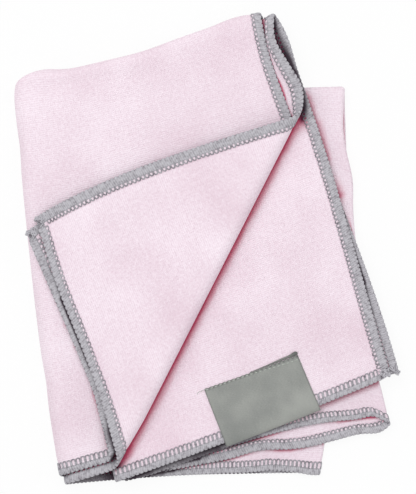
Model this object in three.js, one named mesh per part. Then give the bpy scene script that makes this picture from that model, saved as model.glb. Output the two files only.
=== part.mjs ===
// A microfibre grooming towel, folded into a pack of eight layers for the shelf.
// All sizes are in millimetres. X runs across the pack, Y up towards its folded top, Z up.
// The towel is one sheet. Every point of it has a flat place (u, v) on the cut cloth, and one function,
// laidPoint, carries that place through the folds: in half along the long side, in half across,
// in half again, and then the free corner of the two top layers turned back.
import * as THREE from "three";

// The cut cloth
const LONG_SIDE = 600;
const SHORT_SIDE = 400;
const PANEL_WIDTH = LONG_SIDE / 4;
const PANEL_LENGTH = SHORT_SIDE / 2;
const CLOTH_THICKNESS = 1.2;
const STITCHED_THICKNESS = 0.56; // where the seam draws the cloth in
const DRAWN_IN_TO = 6.5; // from the edge, the cloth stays drawn in this far
const FULL_FROM = 9; // and is full again from here

// The pack
const LAYER_PITCH = 2.1; // from one layer to the next
const LOWEST_LAYER = CLOTH_THICKNESS / 2;
const MIDDLE_OF_PACK = LOWEST_LAYER + 3.5 * LAYER_PITCH;
const SEAM_LIFT = 0.24; // the lowest layer rises this much at its edge, so its seam clears the table
const SEAM_LIFT_OVER = 8; // and comes down again over this length
const LAYERS_TO_LOWEST = 2.5; // layers counted down from the middle of the pack to the last gap

// The overlock seams
const SEAM_WIDTH = 5.8;
const SEAM_OVERHANG = 0.7; // thread past the cloth's edge
const SEAM_THICKNESS = 1.6;
const SEAM_POCKET = 1.0; // the slot that the cloth's edge lies in
const POCKET_DEPTH = 0.3; // from the cloth's edge to the end of the slot
const SEAM_END_GAP = 0.35; // between two seams that meet at a corner
const SEAM_BEVEL = { along: 0.6, down: 0.1 }; // of the seam's inner edge
const SEAM_BACK = { from: 0.2, halfShare: 0.45 }; // where its back starts to round, and how much stays flat

// The label, a tape folded round the edge of the third layer from the top
const LABEL_START = 510.2;
const LABEL_WIDTH = 51;
const LABEL_TURN = -0.12; // sewn on a little crooked: its slide along the seam, per millimetre inwards
const LABEL_HEIGHT = 28.7; // from the cloth's edge to the stitched end on top
const LABEL_UNDER = 7; // the same, below
const LABEL_LOOP = 2.9; // how far the fold stands off the edge
const LABEL_THICKNESS = 0.3;
const LABEL_GAP = 0.15; // between the tape and what it lies on
const LOOP_FROM = 0.3; // the tape stays level until this far past the cloth's edge
const LOOP_SHOULDER = { out: 0.75, up: 0.7 }; // shares of the loop's reach and height
const LABEL_PARTS = 4; // lengths that the tape is swept in

// Where the corners of the eight panels lie in the pack, seen from above, as it was casually folded.
// A row holds the five places along one line across the sheet, from u = 0 to u = LONG_SIDE.
const PANEL_CORNERS = [
  [[53.9, -94.7], [-100.4, -97.3], [29.6, -126.1], [-98.6, -102.3], [68.0, -97.4]],
  [[53.8, 110.5], [-74.7, 107.7], [86.4, 64.0], [-74.7, 105.1], [59.9, 106.8]],
  [[81.0, -85.3], [-69.0, -110.7], [71.4, -110.1], [-73.0, -106.8], [76.4, -85.5]],
];
// How far the middle of each panel's side bulges from a straight line, in X or in Y, and how far that
// bulge leans towards the side's far end. The sides across the sheet bulge in Y, row by row, and the
// sides along it bulge in X.
const STRAIGHT = { by: 0, lean: 0 };
const TOP_FOLD = { by: -3.1, lean: 1.15 };
const SIDES_ACROSS = [
  [{ by: 1.9, lean: 0.1 }, STRAIGHT, { by: 2, lean: 0 }, { by: 1.8, lean: 0.2 }],
  [TOP_FOLD, { by: -4.3, lean: 0 }, STRAIGHT, TOP_FOLD],
  [{ by: 10, lean: 0 }, { by: 5.6, lean: 2 }, { by: -1, lean: -2 }, { by: -1.3, lean: 0 }],
];
const LEFT_FOLD = { by: -2.2, lean: -0.4 };
const SIDES_ALONG = [
  [{ by: 7.4, lean: -1.15 }, LEFT_FOLD, { by: 6.5, lean: 0 }, LEFT_FOLD, { by: 4.7, lean: -1.1 }],
  [{ by: 2.9, lean: 0.65 }, STRAIGHT, { by: -5.5, lean: 0.5 }, STRAIGHT, { by: 3, lean: -0.8 }],
];

// The turned-back corner. Both creases run the same way, the lower layer's further out.
const CREASE_ANGLE = THREE.MathUtils.degToRad(-40); // of the line square to the crease
const ACROSS_CREASE = [Math.cos(CREASE_ANGLE), Math.sin(CREASE_ANGLE)];
// Near the hem each crease drifts in a little.
const UPPER_CREASE = { at: 7.7, radius: 2.2, rest: LAYER_PITCH, settle: 34, drift: 3.3, steps: 6 };
const LOWER_CREASE = { at: 10.5, radius: 5, rest: 3 * LAYER_PITCH, settle: 45, drift: 1.5, steps: 8 };
const DRIFT_FROM = 90;
const DRIFT_OVER = 33;

const CLOTH_COLOUR = 0xf0d5e0;
const THREAD_COLOUR = 0x9b9da3;
const LABEL_COLOUR = 0x8f988f;

function smooth(t) {
  const x = THREE.MathUtils.clamp(t, 0, 1);
  return x * x * (3 - 2 * x);
}

// A strip bent in half round a radius, in a nest of bends whose outermost has the radius outer.
// Distance is along the strip from the middle of the bend. Inward is the distance back from the nest's
// outermost line, and across the height. The layers of a nest slip on each other, so that at the
// distance reach they are all as far in.
function bend(distance, radius, outer, reach) {
  const quarter = (Math.PI / 2) * radius;
  if (Math.abs(distance) < quarter) {
    const angle = distance / radius;
    return { inward: outer - radius * Math.cos(angle), across: -radius * Math.sin(angle) };
  }
  const flatPart = (Math.abs(distance) - quarter) / (reach - quarter);
  return { inward: outer + flatPart * (reach - outer), across: -Math.sign(distance) * radius };
}

// The three folds in half, each round what the earlier ones made.
// It gives the place in a perfectly square pack, whose left fold is x = 0 and top fold y = 0.
const FIRST_RADIUS = LAYER_PITCH / 2;
function squarePack(u, v) {
  const first = bend(u - 2 * PANEL_WIDTH, FIRST_RADIUS, FIRST_RADIUS, 2 * PANEL_WIDTH);
  const along = 2 * PANEL_WIDTH - first.inward;
  const second = bend(v - PANEL_LENGTH, LAYER_PITCH + first.across, 1.5 * LAYER_PITCH, PANEL_LENGTH);
  const thirdRadius = 2 * LAYER_PITCH + second.across;
  const third = bend(along - PANEL_WIDTH, thirdRadius, 3.5 * LAYER_PITCH, PANEL_WIDTH);
  return { x: third.inward, y: -second.inward, height: third.across };
}

function bulge({ by, lean }, t) {
  return by * 4 * t * (1 - t) * (1 + lean * (2 * t - 1));
}

// How far each panel corner lies from its place in the square pack.
const CORNER_SLIDES = PANEL_CORNERS.map((row, j) =>
  row.map(([x, y], i) => {
    const square = squarePack(i * PANEL_WIDTH, j * PANEL_LENGTH);
    return [x - square.x, y - square.y];
  })
);

// How far the flat place (u, v) slides in plan, between the slides of its panel's corners and sides.
function slide(u, v) {
  const i = THREE.MathUtils.clamp(Math.floor(u / PANEL_WIDTH), 0, 3);
  const j = THREE.MathUtils.clamp(Math.floor(v / PANEL_LENGTH), 0, 1);
  const s = u / PANEL_WIDTH - i;
  const t = v / PANEL_LENGTH - j;
  const [x, y] = [0, 1].map((axis) => {
    const near = (1 - s) * CORNER_SLIDES[j][i][axis] + s * CORNER_SLIDES[j][i + 1][axis];
    const far = (1 - s) * CORNER_SLIDES[j + 1][i][axis] + s * CORNER_SLIDES[j + 1][i + 1][axis];
    return (1 - t) * near + t * far;
  });
  const along = (1 - s) * bulge(SIDES_ALONG[j][i], t) + s * bulge(SIDES_ALONG[j][i + 1], t);
  const across = (1 - t) * bulge(SIDES_ACROSS[j][i], s) + t * bulge(SIDES_ACROSS[j + 1][i], s);
  return [x + along, y + across];
}

// The lowest layer lies flat on the table, and rises a little where its seam is thicker than the cloth.
function seamLift(v, height) {
  const lowest = smooth(-height / LAYER_PITCH - LAYERS_TO_LOWEST);
  return v < PANEL_LENGTH ? SEAM_LIFT * lowest * (1 - smooth((v - DRAWN_IN_TO) / SEAM_LIFT_OVER)) : 0;
}

// The crease that bends the panel at (u, v), if its panel has one.
function creaseOf(u, v) {
  if (v >= PANEL_LENGTH) return null;
  if (u < PANEL_WIDTH) return UPPER_CREASE;
  return u > 3 * PANEL_WIDTH ? LOWER_CREASE : null;
}

// The place in the pack before its corner is turned back.
function packedPoint(u, v) {
  const square = squarePack(u, v);
  const [dx, dy] = slide(u, v);
  const height = MIDDLE_OF_PACK + square.height + seamLift(v, square.height);
  return new THREE.Vector3(square.x + dx, square.y + dy, height);
}

// Distance in plan past the line where the crease starts to rise.
function pastCrease({ x, y }, crease) {
  const alongCrease = x * ACROSS_CREASE[1] - y * ACROSS_CREASE[0];
  const drift = crease.drift * smooth((alongCrease - DRIFT_FROM) / DRIFT_OVER);
  return x * ACROSS_CREASE[0] + y * ACROSS_CREASE[1] - (crease.at - crease.radius - drift);
}

function laidPoint(u, v) {
  const point = packedPoint(u, v);
  const crease = creaseOf(u, v);
  const past = crease ? pastCrease(point, crease) : 0;
  if (past <= 0) return point;
  const { radius, rest, settle } = crease;
  const angle = Math.min(past / radius, Math.PI);
  const back = Math.max(past - Math.PI * radius, 0);
  const moved = radius * Math.sin(angle) - back - past;
  const drop = (2 * radius - rest) * smooth(back / settle);
  point.x += moved * ACROSS_CREASE[0];
  point.y += moved * ACROSS_CREASE[1];
  point.z += radius * (1 - Math.cos(angle)) - drop;
  return point;
}

const SLOPE_STEP = 0.02; // the sheet's slope at a place is taken over this distance to each side
function laidNormal(u, v) {
  const acrossU = laidPoint(u + SLOPE_STEP, v).sub(laidPoint(u - SLOPE_STEP, v));
  const acrossV = laidPoint(u, v + SLOPE_STEP).sub(laidPoint(u, v - SLOPE_STEP));
  return acrossV.cross(acrossU).normalize();
}

function offsetPoint(u, v, away) {
  return laidPoint(u, v).addScaledVector(laidNormal(u, v), away);
}

// Places along a side where the cloth is scored: fine round the bends, coarse on the flat stretches.
function angles(steps) {
  return Array.from({ length: steps + 1 }, (_, k) => (k / steps - 0.5) * Math.PI);
}
const FIRST_FOLD_ANGLES = angles(6);
const SECOND_FOLD_ANGLES = angles(5);
const THIRD_FOLD_ANGLES = angles(6);

// The columns of the score lines. Each knows its height in the stack that the second fold bends,
// and finds its u once the radius of the third fold is known.
function scoreColumns() {
  const half = FIRST_RADIUS;
  const edge = [0, DRAWN_IN_TO, FULL_FROM];
  const columns = edge.map((u) => ({ stack: half, place: () => u }));
  columns.push({ stack: half, place: () => PANEL_WIDTH / 2 });
  for (const a of THIRD_FOLD_ANGLES)
    columns.push({ stack: half, place: (radius) => PANEL_WIDTH + a * radius });
  columns.push({ stack: half, place: () => 1.5 * PANEL_WIDTH });
  for (const a of FIRST_FOLD_ANGLES)
    columns.push({ stack: -half * Math.sin(a), place: () => 2 * PANEL_WIDTH + a * half });
  columns.push({ stack: -half, place: () => 2.5 * PANEL_WIDTH });
  for (const a of THIRD_FOLD_ANGLES)
    columns.push({ stack: -half, place: (radius) => 3 * PANEL_WIDTH + a * radius });
  columns.push({ stack: -half, place: () => 3.5 * PANEL_WIDTH });
  for (const u of edge.toReversed())
    columns.push({ stack: -half, place: () => LONG_SIDE - u });
  return columns;
}

function scoreRows() {
  const edge = [0, DRAWN_IN_TO, FULL_FROM];
  const rows = [...edge, PANEL_LENGTH / 2].map((v) => () => v);
  for (const a of SECOND_FOLD_ANGLES) rows.push((radius) => PANEL_LENGTH + a * radius);
  rows.push(() => 1.5 * PANEL_LENGTH);
  for (const v of edge.toReversed()) rows.push(() => SHORT_SIDE - v);
  return rows;
}

// The flat places where the score lines cross, as rows of [u, v].
function scoredGrid() {
  const columns = scoreColumns();
  return scoreRows().map((row) =>
    columns.map(({ stack, place }) => {
      const secondRadius = LAYER_PITCH + stack;
      const v = row(secondRadius);
      const second = bend(v - PANEL_LENGTH, secondRadius, 1.5 * LAYER_PITCH, PANEL_LENGTH);
      const thirdRadius = 2 * LAYER_PITCH + second.across;
      return [place(thirdRadius), v];
    })
  );
}

// Splits a convex flat polygon where a function of its points changes sign.
const SNAP = 0.06; // a corner this near the cut counts as on it
function split(polygon, level) {
  const values = polygon.map(([u, v]) => level(u, v)).map((f) => (Math.abs(f) < SNAP ? 0 : f));
  const below = [];
  const above = [];
  polygon.forEach((point, k) => {
    const next = (k + 1) % polygon.length;
    if (values[k] <= 0) below.push(point);
    if (values[k] >= 0) above.push(point);
    if (values[k] * values[next] < 0) {
      const cut = crossing(point, polygon[next], level);
      below.push(cut);
      above.push(cut);
    }
  });
  return [below, above].filter((part) => part.length > 2);
}

// The place between two flat points where the level is nought. Both neighbours of a shared side
// find the same place, because the search always starts from the same end.
const HALVINGS = 30;
function crossing(a, b, level) {
  const [low, high] = a[0] < b[0] || (a[0] === b[0] && a[1] < b[1]) ? [a, b] : [b, a];
  const at = (t) => [low[0] + t * (high[0] - low[0]), low[1] + t * (high[1] - low[1])];
  const sign = Math.sign(level(...low));
  let from = 0;
  let to = 1;
  for (let k = 0; k < HALVINGS; k++) {
    const middle = (from + to) / 2;
    if (Math.sign(level(...at(middle))) === sign) from = middle;
    else to = middle;
  }
  return at((from + to) / 2);
}

// The levels, measured past the start of a crease, at which its panel is scored.
const SETTLE_STEPS = [1 / 3, 2 / 3, 1];
function creaseLevels({ radius, settle, steps }) {
  const halfTurn = Math.PI * radius;
  const turn = Array.from({ length: steps + 1 }, (_, k) => (k / steps) * halfTurn);
  return [...turn, ...SETTLE_STEPS.map((part) => halfTurn + part * settle)];
}

function flatPolygons() {
  const grid = scoredGrid();
  const polygons = [];
  for (let j = 0; j + 1 < grid.length; j++)
    for (let i = 0; i + 1 < grid[j].length; i++) {
      let pieces = [[grid[j][i], grid[j][i + 1], grid[j + 1][i + 1], grid[j + 1][i]]];
      const u = (grid[j][i][0] + grid[j][i + 1][0]) / 2;
      const v = (grid[j][i][1] + grid[j + 1][i][1]) / 2;
      const crease = creaseOf(u, v);
      if (crease)
        for (const value of creaseLevels(crease)) {
          const level = (a, b) => pastCrease(packedPoint(a, b), crease) - value;
          pieces = pieces.flatMap((piece) => split(piece, level));
        }
      polygons.push(...pieces);
    }
  return polygons;
}

const FLAT_POLYGONS = flatPolygons();

// Half the cloth's thickness, drawn in where a seam holds it.
function halfThickness(u, v) {
  const fromEdge = Math.min(u, LONG_SIDE - u, v, SHORT_SIDE - v);
  const full = smooth((fromEdge - DRAWN_IN_TO) / (FULL_FROM - DRAWN_IN_TO));
  return THREE.MathUtils.lerp(STITCHED_THICKNESS / 2, CLOTH_THICKNESS / 2, full);
}

// The cloth: the scored polygons set off to both sides of the laid sheet, and joined round the rim.
function clothGeometry() {
  const keys = new Map();
  const flat = [];
  const indexOf = ([u, v]) => {
    const key = `${u.toFixed(3)},${v.toFixed(3)}`;
    if (!keys.has(key)) {
      keys.set(key, flat.length);
      flat.push([u, v]);
    }
    return keys.get(key);
  };
  const faces = [];
  const rim = new Map();
  for (const polygon of FLAT_POLYGONS) {
    const loop = polygon.map(indexOf).filter((index, k, all) => index !== all[(k + 1) % all.length]);
    for (let k = 1; k + 1 < loop.length; k++) faces.push([loop[0], loop[k], loop[k + 1]]);
    loop.forEach((a, k) => {
      const b = loop[(k + 1) % loop.length];
      if (!rim.delete(`${b},${a}`)) rim.set(`${a},${b}`, [a, b]);
    });
  }
  const positions = [];
  for (const side of [1, -1])
    for (const [u, v] of flat) positions.push(...offsetPoint(u, v, side * halfThickness(u, v)));
  const under = flat.length;
  const triangles = [];
  for (const [a, b, c] of faces) triangles.push(a, c, b, a + under, b + under, c + under);
  for (const [a, b] of rim.values()) triangles.push(a, b, a + under, b, b + under, a + under);
  return geometryOf(positions, triangles);
}

function geometryOf(positions, triangles) {
  const geometry = new THREE.BufferGeometry();
  geometry.setAttribute("position", new THREE.Float32BufferAttribute(positions, 3));
  geometry.setIndex(triangles);
  geometry.computeVertexNormals();
  return geometry;
}

// A closed section of [inward, away] points swept along one side of the sheet.
// Inward is measured on the cloth from its edge, and away is square to it.
function sweepAlongSide(stations, section, flatPlace) {
  const positions = [];
  for (const station of stations)
    for (const [inward, away] of section) {
      const [u, v] = flatPlace(station, inward);
      positions.push(...offsetPoint(u, v, away));
    }
  const count = section.length;
  const triangles = [];
  for (let s = 0; s + 1 < stations.length; s++)
    for (let k = 0; k < count; k++) {
      const a = s * count + k;
      const b = s * count + ((k + 1) % count);
      triangles.push(a, b, a + count, b, b + count, a + count);
    }
  const outline = section.map(([x, y]) => new THREE.Vector2(x, y));
  const last = (stations.length - 1) * count;
  for (const [a, b, c] of THREE.ShapeUtils.triangulateShape(outline, []))
    triangles.push(a, c, b, a + last, b + last, c + last);
  return geometryOf(positions, triangles);
}

// Which way round a swept solid faces depends on its side, so it is turned if its volume is negative.
function facingOut(geometry) {
  const index = geometry.index.array;
  const place = geometry.attributes.position;
  const corner = (k) => new THREE.Vector3().fromBufferAttribute(place, index[k]);
  let volume = 0;
  for (let k = 0; k < index.length; k += 3)
    volume += corner(k).dot(corner(k + 1).cross(corner(k + 2)));
  if (volume > 0) return geometry;
  for (let k = 0; k < index.length; k += 3)
    [index[k + 1], index[k + 2]] = [index[k + 2], index[k + 1]];
  geometry.computeVertexNormals();
  return geometry;
}

// The seam wraps the cloth's edge, so its section is a C with a rounded back.
function seamSection() {
  const outer = SEAM_THICKNESS / 2;
  const pocket = SEAM_POCKET / 2;
  const back = SEAM_OVERHANG;
  const flatBack = outer * SEAM_BACK.halfShare;
  return [
    [SEAM_WIDTH, pocket],
    [SEAM_WIDTH, outer - SEAM_BEVEL.down],
    [SEAM_WIDTH - SEAM_BEVEL.along, outer],
    [SEAM_BACK.from, outer],
    [-back, flatBack],
    [-back, -flatBack],
    [SEAM_BACK.from, -outer],
    [SEAM_WIDTH - SEAM_BEVEL.along, -outer],
    [SEAM_WIDTH, -outer + SEAM_BEVEL.down],
    [SEAM_WIDTH, -pocket],
    [-POCKET_DEPTH, -pocket],
    [-POCKET_DEPTH, pocket],
  ];
}

// Across a crease the seam's sections lean, so that each one lies along the crease as the cloth's
// score lines do. The lean fades out before and after the bend.
const LEAN_STARTS = 3.5;
const LEAN_ENDS = 12;
function sectionLean(station, flatPlace) {
  const [u, v] = flatPlace(station, 0);
  const crease = creaseOf(u, v);
  if (!crease) return 0;
  const past = (s, inward) => pastCrease(packedPoint(...flatPlace(s, inward)), crease);
  const here = past(station, 0);
  const before = smooth(1 + here / LEAN_STARTS);
  const after = smooth(1 - (here - Math.PI * crease.radius) / LEAN_ENDS);
  const perStation = past(station + 1, 0) - past(station - 1, 0);
  const perInward = past(station, 1) - past(station, -1);
  return (-perInward / perStation) * before * after;
}

// The seam's sections stand where the score lines meet its side of the sheet.
function seamGeometry({ ends, flatPlace, stationOf }) {
  const [start, end] = ends;
  const inside = FLAT_POLYGONS.flat().map(stationOf).filter((s) => s > start + 1 && s < end - 1);
  const stations = [...new Set(inside.map((s) => Number(s.toFixed(3))))].sort((a, b) => a - b);
  const leaning = (station, inward) =>
    flatPlace(station + sectionLean(station, flatPlace) * inward, inward);
  return facingOut(sweepAlongSide([start, ...stations, end], seamSection(), leaning));
}

// The tape lies on the cloth, climbs over the seam, turns round the edge and ends underneath.
function labelSection() {
  const half = LABEL_THICKNESS / 2;
  const onCloth = CLOTH_THICKNESS / 2 + LABEL_GAP + half;
  const onSeam = SEAM_THICKNESS / 2 + LABEL_GAP + half;
  const shoulder = [-LABEL_LOOP * LOOP_SHOULDER.out, onSeam * LOOP_SHOULDER.up];
  const line = [
    [LABEL_HEIGHT, onCloth],
    [FULL_FROM + 1, onCloth],
    [SEAM_WIDTH, onSeam],
    [-LOOP_FROM, onSeam],
    shoulder,
    [-LABEL_LOOP, 0],
    [shoulder[0], -shoulder[1]],
    [-LOOP_FROM, -onSeam],
    [LABEL_UNDER, -onSeam],
  ].map(([x, y]) => new THREE.Vector2(x, y));
  const square = line.map((point, k) => {
    const before = line[Math.max(k - 1, 0)];
    const after = line[Math.min(k + 1, line.length - 1)];
    const along = after.clone().sub(before).normalize();
    return new THREE.Vector2(-along.y, along.x);
  });
  const side = (sign) => line.map((point, k) => point.clone().addScaledVector(square[k], sign * half));
  return [...side(-1), ...side(1).reverse()].map((point) => point.toArray());
}

function named(name, geometry, colour, roughness) {
  const material = new THREE.MeshStandardMaterial({ color: colour, roughness, metalness: 0 });
  const mesh = new THREE.Mesh(geometry, material);
  mesh.name = name;
  return mesh;
}

// stationOf gives a flat point's place along the side, or NaN where it isn't on that side.
const cornerGap = SEAM_WIDTH + SEAM_END_GAP;
const SHORT_ENDS = [0, SHORT_SIDE];
const LONG_ENDS = [cornerGap, LONG_SIDE - cornerGap];
const SEAMS = {
  edging_short_outer: {
    ends: SHORT_ENDS,
    flatPlace: (v, inward) => [inward, v],
    stationOf: ([u, v]) => (u === 0 ? v : NaN),
  },
  edging_short_inner: {
    ends: SHORT_ENDS,
    flatPlace: (v, inward) => [LONG_SIDE - inward, v],
    stationOf: ([u, v]) => (u === LONG_SIDE ? v : NaN),
  },
  edging_long_plain: {
    ends: LONG_ENDS,
    flatPlace: (u, inward) => [u, inward],
    stationOf: ([u, v]) => (v === 0 ? u : NaN),
  },
  edging_long_label: {
    ends: LONG_ENDS,
    flatPlace: (u, inward) => [u, SHORT_SIDE - inward],
    stationOf: ([u, v]) => (v === SHORT_SIDE ? u : NaN),
  },
};

const towel = new THREE.Group();
towel.add(named("towel_cloth", clothGeometry(), CLOTH_COLOUR, 0.95));
for (const [name, seam] of Object.entries(SEAMS))
  towel.add(named(name, seamGeometry(seam), THREAD_COLOUR, 0.7));

const labelStations = Array.from(
  { length: LABEL_PARTS + 1 },
  (_, k) => LABEL_START + (k / LABEL_PARTS) * LABEL_WIDTH
);
const labelPlace = (u, inward) => [u + LABEL_TURN * inward, SHORT_SIDE - inward];
const label = facingOut(sweepAlongSide(labelStations, labelSection(), labelPlace));
towel.add(named("label", label, LABEL_COLOUR, 0.5));

// The pack stands with the middle of its outline over the origin.
const box = new THREE.Box3().setFromObject(towel);
const middle = box.getCenter(new THREE.Vector3());
towel.position.set(-middle.x, -middle.y, 0);

export default towel;
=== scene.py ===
# %% [markdown]
# # A folded grooming towel
# The towel is one sheet of pink microfibre, hemmed with a grey overlock seam all round and folded into a
# flat pack, with one corner turned back. The packed solids give its size and its place. The cloth, the four
# seams and the label made here stand for them, with the nap, the threads and the weave added. The knots of
# thread and the label's stitches and rolled corner are additions.

# %% Load the packed model
import math

import bmesh
import bpy
import numpy as np
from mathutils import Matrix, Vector
from mathutils.bvhtree import BVHTree


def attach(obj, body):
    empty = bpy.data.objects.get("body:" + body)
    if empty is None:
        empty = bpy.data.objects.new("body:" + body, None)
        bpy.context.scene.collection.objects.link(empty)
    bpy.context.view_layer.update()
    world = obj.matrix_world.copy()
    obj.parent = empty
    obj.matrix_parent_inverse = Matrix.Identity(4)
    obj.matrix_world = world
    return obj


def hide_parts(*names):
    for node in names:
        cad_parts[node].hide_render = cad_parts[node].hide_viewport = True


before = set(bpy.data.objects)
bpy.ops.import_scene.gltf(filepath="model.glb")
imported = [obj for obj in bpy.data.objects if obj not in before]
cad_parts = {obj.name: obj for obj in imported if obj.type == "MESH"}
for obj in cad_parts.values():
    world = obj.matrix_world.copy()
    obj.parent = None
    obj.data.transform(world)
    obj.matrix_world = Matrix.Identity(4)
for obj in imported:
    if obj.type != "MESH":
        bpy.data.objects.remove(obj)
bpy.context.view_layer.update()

# %% [markdown]
# ## The camera
# The towel was photographed from straight above with a long lens. A camera that isn't turned looks down
# and has +Y at the top of its picture, so it only needs its place and a small roll.

# %% Camera
VIEW_LENGTH = 0.2539     # what the picture's long side takes in, at the height of the pack's upper layers
VIEW_MIDDLE = (0.00714, 0.00789)
VIEW_ROLL = math.radians(-13)
UPPER_LAYERS = 0.015
CAMERA_AWAY = 2.0
bpy.ops.object.camera_add(location=(*VIEW_MIDDLE, UPPER_LAYERS + CAMERA_AWAY), rotation=(0, 0, VIEW_ROLL))
camera = bpy.context.object
camera.data.lens = camera.data.sensor_width * CAMERA_AWAY / VIEW_LENGTH
bpy.context.scene.camera = camera
print(f"lens {camera.data.lens:.0f} mm")

# %% [markdown]
# ## Shader maths as Python
# A material is a net of nodes. The class below wraps one socket, so that a sum on sockets adds its Math
# nodes by itself. Its method node adds any other node: the settings are set first, then the inputs.


# %% A socket that does sums
class Wire:
    def __init__(self, tree, socket=None):
        self.tree = tree
        self.socket = socket

    def node(self, kind, settings=None, inputs=None, output=0):
        made = self.tree.nodes.new("ShaderNode" + kind)
        for name, value in (settings or {}).items():
            setattr(made, name, value)
        for name, value in (inputs or {}).items():
            socket = made.inputs[name]
            if isinstance(value, Wire):
                self.tree.links.new(value.socket, socket)
            else:
                socket.default_value = value
        return Wire(self.tree, made.outputs[output])

    def math(self, operation, *values):
        return self.node("Math", {"operation": operation}, dict(enumerate(values)))

    def __add__(self, other):
        return self.math("ADD", self, other)

    def __radd__(self, other):
        return self.math("ADD", other, self)

    def __sub__(self, other):
        return self.math("SUBTRACT", self, other)

    def __rsub__(self, other):
        return self.math("SUBTRACT", other, self)

    def __mul__(self, other):
        return self.math("MULTIPLY", self, other)

    def __rmul__(self, other):
        return self.math("MULTIPLY", other, self)

    def mix(self, first, second):
        """This socket mixes two colours."""
        inputs = {0: self, 6: first, 7: second}
        return self.node("Mix", {"data_type": "RGBA"}, inputs, output=2)

    def soft_step(self, low, high):
        """0 below low, 1 above high, and smooth between."""
        settings = {"interpolation_type": "SMOOTHSTEP"}
        return self.node("MapRange", settings, {"Value": self, "From Min": low, "From Max": high})

    def between(self, rise, fall):
        """1 between two places and 0 outside them. Each place is given as the two ends of its soft step."""
        return self.soft_step(*rise) * (1 - self.soft_step(*fall))


print("methods of a wire:", [name for name in vars(Wire) if not name.startswith("_")])

# %% [markdown]
# Four helpers save writing: one starts a Principled material, one links a wire to it, one adds a noise, and
# one turns a colour as a screen shows it into the shader's own numbers.


# %% Material helpers
def new_material(name, **constants):
    """A Principled material, with the numbers that are the same all over set on its sockets."""
    material = bpy.data.materials.new(name)
    material.use_nodes = True
    shader = material.node_tree.nodes["Principled BSDF"]
    for socket, value in constants.items():
        shader.inputs[socket.replace("_", " ").title().replace("Ior", "IOR")].default_value = value
    return material, Wire(material.node_tree), shader


def feed(wire, shader, socket):
    wire.tree.links.new(wire.socket, shader.inputs[socket])


def noise(place, scale, detail, dimensions="2D"):
    inputs = {"Vector": place, "Scale": scale, "Detail": detail}
    return place.node("TexNoise", {"noise_dimensions": dimensions}, inputs)


def linear(*srgb):
    """A colour read from a screen, 0 to 255, as the shader wants it."""
    def one(value):
        part = value / 255
        return part / 12.92 if part <= 0.04045 else ((part + 0.055) / 1.055) ** 2.4
    return (*map(one, srgb), 1.0)


WHITE = linear(255, 255, 255)
print("half grey on a screen is", round(linear(128, 128, 128)[0], 3), "in a shader")

# %% [markdown]
# ## Floor and light
# A pale floor runs out of sight. It shows the camera nearly plain white and keeps the pack's soft shadow.

# %% Floor
FLOOR_SIZE = 6
FLOOR_DROP = 0.0002      # the lowest threads hang a little under the solids
WHITENED = 0.92          # the share of plain white that the camera sees on the floor
bpy.ops.mesh.primitive_plane_add(size=FLOOR_SIZE, location=(0, 0, -FLOOR_DROP))
floor = bpy.context.object
floor.name = "floor"
paper, wire, shader = new_material("white paper", base_color=linear(243, 243, 243), roughness=0.9)
seen = wire.node("LightPath", output="Is Camera Ray")
glow = wire.node("Emission", inputs={"Color": WHITE, "Strength": 1.0})
paper_shade = Wire(paper.node_tree, shader.outputs[0])
whitened = wire.node("MixShader", inputs={0: seen * WHITENED, 1: paper_shade, 2: glow})
paper.node_tree.links.new(whitened.socket, paper.node_tree.nodes["Material Output"].inputs["Surface"])
floor.data.materials.append(paper)
print("floor:", FLOOR_SIZE, "m across")

# %% [markdown]
# The pack is lit as for a catalogue: a bright even sky, a broad soft lamp from the upper left, and a weak
# one from the right. Together they give an open upward face a little more than 1. The layers and the nap
# shade each other, so that a colour still shows about as it is written, and no pale cloth clips to white.

# %% Sky and lamps
SKY_LEVEL = 0.63
KEY_PLACE, KEY_SIZE, KEY_LEVEL = (-0.32, 0.64, 1.75), 1.2, 0.40
FILL_PLACE, FILL_SIZE, FILL_LEVEL = (0.9, -0.2, 1.5), 0.9, 0.06
world = bpy.data.worlds.new("studio")
bpy.context.scene.world = world
world.use_nodes = True
sky = world.node_tree.nodes["Background"]
seen = Wire(world.node_tree).node("LightPath", output="Is Camera Ray")
feed(seen * (1 - SKY_LEVEL) + SKY_LEVEL, sky, "Strength")
sky.inputs["Color"].default_value = WHITE


def soft_lamp(name, place, size, level):
    """A square area lamp that faces the pack and gives an upward face at its middle this much light."""
    towards = Vector(place)
    bpy.ops.object.light_add(type="AREA", location=place)
    lamp = bpy.context.object
    lamp.name = name
    lamp.data.size = size
    lamp.rotation_mode = "QUATERNION"
    lamp.rotation_quaternion = towards.to_track_quat("Z", "Y")
    tilt = towards.normalized().z
    # A square lamp of power P gives P / (pi d^2) straight ahead, and a white face shows it over pi.
    lamp.data.energy = level * math.pi ** 2 * towards.length ** 2 / tilt


soft_lamp("key", KEY_PLACE, KEY_SIZE, KEY_LEVEL)
soft_lamp("fill", FILL_PLACE, FILL_SIZE, FILL_LEVEL)
bpy.context.scene.view_settings.view_transform = "Standard"

# %% [markdown]
# ## How the sheet is folded
# Each point of the cloth has a flat place (u, v) in millimetres on the cut sheet. Three bends in half make
# a square pack of eight layers, each panel then slides to where it lies in the photograph, and the free
# corner of the two top layers rolls back over two creases. The solids are folded in the same way. Here it
# is written for numpy, so that a whole grid of points folds in one go. A cloth simulation could fold a
# sheet too, but it wouldn't put each edge where the photograph has it.

# %% The folds in half
LONG_SIDE, SHORT_SIDE = 600, 400
PANEL_WIDTH, PANEL_LENGTH = LONG_SIDE / 4, SHORT_SIDE / 2
LAYER_PITCH = 2.1
CLOTH_THICKNESS = 1.2
MIDDLE_OF_PACK = CLOTH_THICKNESS / 2 + 3.5 * LAYER_PITCH
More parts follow.
